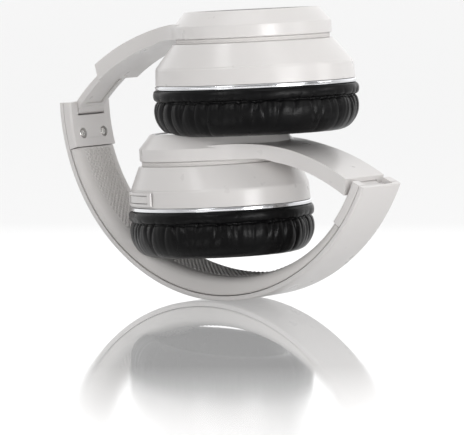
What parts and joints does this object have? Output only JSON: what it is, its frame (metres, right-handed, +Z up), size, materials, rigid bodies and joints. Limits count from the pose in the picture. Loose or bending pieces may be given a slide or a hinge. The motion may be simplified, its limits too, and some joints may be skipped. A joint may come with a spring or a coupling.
{
  "type": "over ear headphones",
  "caption": "Folding over-ear headphones with sliding arms, padded headband, round caps and oval leatherette cushions, stored folded and standing on the headband's crown.",
  "frame": {"origin": "centre of the bounding box's underside, below the crown of the headband it stands on", "axes": "+Z up, +X to the right across the headband as seen from the front, +Y to the back across the width of the band"},
  "size_m": [0.1654, 0.0746, 0.1263],
  "materials": {
    "white_gloss_plastic": "satin gloss warm light grey",
    "white_soft_plastic": "soft touch, fine raised dots on the pad",
    "silver_trim": "bright silver plated",
    "dark_chrome": "dark plated",
    "steel": "bright steel",
    "black_plastic": "matt moulded",
    "black_leatherette": "soft pleated leatherette over foam",
    "black_cloth": "acoustic cloth",
    "circuit_board": "solder mask",
    "battery_wrap": "foil pouch"
  },
  "bodies": {
    "headband": {"headband_shell": "white_gloss_plastic", "headband_spring_strip": "steel", "headband_pad": "white_soft_plastic", "left_hinge_plate": "white_gloss_plastic", "left_hinge_screw_front": "steel", "left_hinge_screw_back": "steel", "left_hinge_pin": "steel", "right_hinge_plate": "white_gloss_plastic", "right_hinge_screw_front": "steel", "right_hinge_screw_back": "steel", "right_hinge_pin": "steel"},
    "left_slider": {"left_slider_bar": "white_gloss_plastic"},
    "left_arm": {"left_arm_shell": "white_gloss_plastic", "left_arm_inner_cover": "white_gloss_plastic", "left_cap_plate": "white_gloss_plastic", "left_cap_trim_ring": "dark_chrome", "left_neck_gasket": "white_soft_plastic", "left_swivel_post": "steel"},
    "left_gimbal": {"left_gimbal_ring": "steel"},
    "left_cup": {"left_swivel_bracket": "black_plastic", "left_cup_shell": "white_gloss_plastic", "left_trim_ring": "silver_trim", "left_baffle": "black_plastic", "left_driver_frame": "black_plastic", "left_driver_magnet": "steel", "left_driver_diaphragm": "black_cloth", "left_cushion_carrier": "black_plastic", "left_ear_cloth": "black_cloth", "left_ear_cushion": "black_leatherette", "left_battery": "battery_wrap"},
    "right_slider": {"right_slider_bar": "white_gloss_plastic"},
    "right_arm": {"right_arm_shell": "white_gloss_plastic", "right_arm_inner_cover": "white_gloss_plastic", "right_cap_plate": "white_gloss_plastic", "right_cap_trim_ring": "dark_chrome", "right_neck_gasket": "white_soft_plastic", "right_swivel_post": "steel"},
    "right_gimbal": {"right_gimbal_ring": "steel"},
    "right_cup": {"right_swivel_bracket": "black_plastic", "right_cup_shell": "white_gloss_plastic", "right_trim_ring": "silver_trim", "right_baffle": "black_plastic", "right_driver_frame": "black_plastic", "right_driver_magnet": "steel", "right_driver_diaphragm": "black_cloth", "right_cushion_carrier": "black_plastic", "right_ear_cloth": "black_cloth", "right_ear_cushion": "black_leatherette", "right_circuit_board": "circuit_board", "right_control_bezel": "white_gloss_plastic", "right_charging_socket": "steel"},
    "volume_rocker": {"right_volume_rocker": "white_gloss_plastic"}
  },
  "joints": [
    {"name": "left_fold", "type": "hinge", "parent": "headband", "child": "left_slider", "pos_m": [-0.07794, 0, 0.07835], "axis": [0, -1, 0], "range_deg": [0, 41.5]},
    {"name": "right_fold", "type": "hinge", "parent": "headband", "child": "right_slider", "pos_m": [0.07625, 0, 0.05066], "axis": [0, 1, 0], "range_deg": [0, 80.5]},
    {"name": "left_slide", "type": "hinge", "parent": "left_slider", "child": "left_arm", "pos_m": [-0.00232, 0, 0.01841], "axis": [0, -1, 0], "range_deg": [0, 11.6], "deforming": ["left_ear_cushion"]},
    {"name": "right_slide", "type": "hinge", "parent": "right_slider", "child": "right_arm", "pos_m": [0.02518, 0, -0.03122], "axis": [0, -1, 0], "range_deg": [0, 3.5], "deforming": ["right_ear_cushion"]},
    {"name": "left_roll", "type": "hinge", "parent": "left_arm", "child": "left_gimbal", "pos_m": [0.01498, 0, 0.10557], "axis": [0.998, 0, 0.0628], "range_deg": [-2, 2], "deforming": ["left_neck_gasket"]},
    {"name": "left_pitch", "type": "hinge", "parent": "left_gimbal", "child": "left_cup", "pos_m": [0.01498, 0, 0.10557], "axis": [0, 1, 0], "range_deg": [-2, 2]},
    {"name": "right_roll", "type": "hinge", "parent": "right_arm", "child": "right_gimbal", "pos_m": [-0.00386, 0, 0.05276], "axis": [0.9973, 0, 0.0741], "range_deg": [-2, 2], "deforming": ["right_neck_gasket"]},
    {"name": "right_pitch", "type": "hinge", "parent": "right_gimbal", "child": "right_cup", "pos_m": [-0.00386, 0, 0.05276], "axis": [0, 1, 0], "range_deg": [-2, 2]},
    {"name": "volume_rock", "type": "hinge", "parent": "right_cup", "child": "volume_rocker", "pos_m": [-0.0227, -0.0299, 0.0433], "axis": [-0.0741, 0, 0.9973], "range_deg": [-1.5, 1.5], "stiffness_Nm_per_rad": 0.02}
  ],
  "couplings": [
    {"joint": "right_fold", "follows": "left_fold", "ratio": 0.6}
  ]
}
